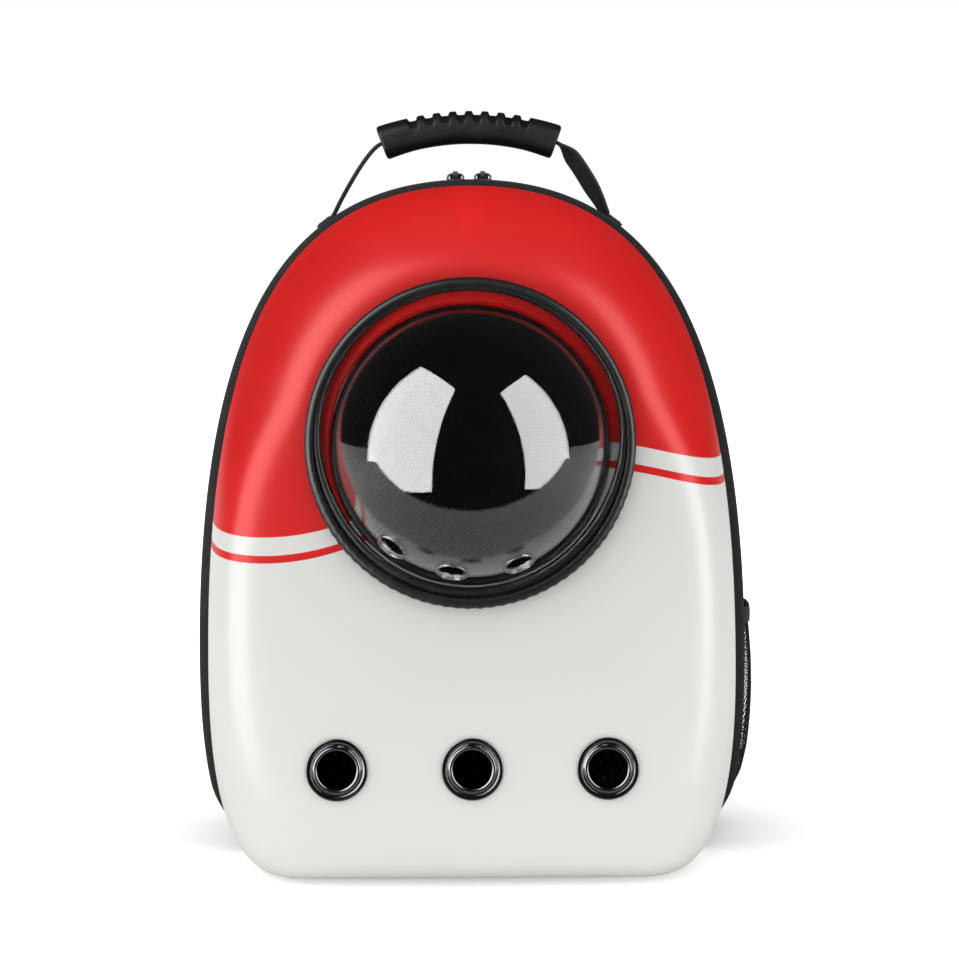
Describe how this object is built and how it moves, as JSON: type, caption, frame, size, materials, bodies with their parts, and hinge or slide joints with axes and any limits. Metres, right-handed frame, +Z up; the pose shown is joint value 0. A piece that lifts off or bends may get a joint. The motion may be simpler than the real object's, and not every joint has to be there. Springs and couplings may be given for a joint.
{
  "type": "bubble pet carrier backpack",
  "caption": "Hard-fronted pet carrier backpack with a clear bubble window, vent eyelets, a cloth wall behind a zip, a carrying handle and padded shoulder straps.",
  "frame": {"origin": "on the floor, in the middle of the cloth wall's flat foot", "axes": "+Z up, -Y out of the front with the bubble window, +X to the right of someone who looks at the front"},
  "size_m": [0.3522, 0.4168, 0.4642],
  "materials": {
    "shell_gloss": "moulded in one, glossy, red above and off-white below",
    "clear_window": "clear, polished",
    "bead_rubber": "glossy black bead",
    "eyelet_metal": "black nickel",
    "cloth_black": "plain woven, black",
    "zip_cloth": "woven tape with a nylon coil",
    "padded_cloth": "spacer mesh over foam, black",
    "net_black": "coarse diamond net",
    "webbing_black": "ribbed webbing, black",
    "grip_plastic": "moulded, satin black",
    "zip_metal": "black enamel",
    "buckle_plastic": "moulded acetal, black"
  },
  "bodies": {
    "bag": {"front_shell": "shell_gloss", "dome": "clear_window", "dome_ring": "bead_rubber", "vent_grommet_left": "eyelet_metal", "vent_grommet_middle": "eyelet_metal", "vent_grommet_right": "eyelet_metal", "edge_welt": "cloth_black", "zip_tape": "zip_cloth", "gusset": "cloth_black", "back_panel": "padded_cloth", "pocket_net": "net_black", "pocket_hem": "webbing_black", "handle_grip": "grip_plastic", "handle_strap": "webbing_black", "zip_slider_left": "zip_metal", "zip_slider_right": "zip_metal", "shoulder_pad_left": "padded_cloth", "shoulder_pad_right": "padded_cloth", "strap_webbing_left": "webbing_black", "strap_webbing_right": "webbing_black", "strap_buckle_left": "buckle_plastic", "strap_buckle_right": "buckle_plastic"},
    "pull_left": {"zip_pull_left": "zip_metal"},
    "pull_right": {"zip_pull_right": "zip_metal"}
  },
  "joints": [
    {"name": "pull_left_hinge", "type": "hinge", "parent": "bag", "child": "pull_left", "pos_m": [-0.0085, -0.0608, 0.42358], "axis": [1, 0, 0], "range_deg": [0, 180]},
    {"name": "pull_right_hinge", "type": "hinge", "parent": "bag", "child": "pull_right", "pos_m": [0.0085, -0.0608, 0.42358], "axis": [1, 0, 0], "range_deg": [0, 180]}
  ]
}
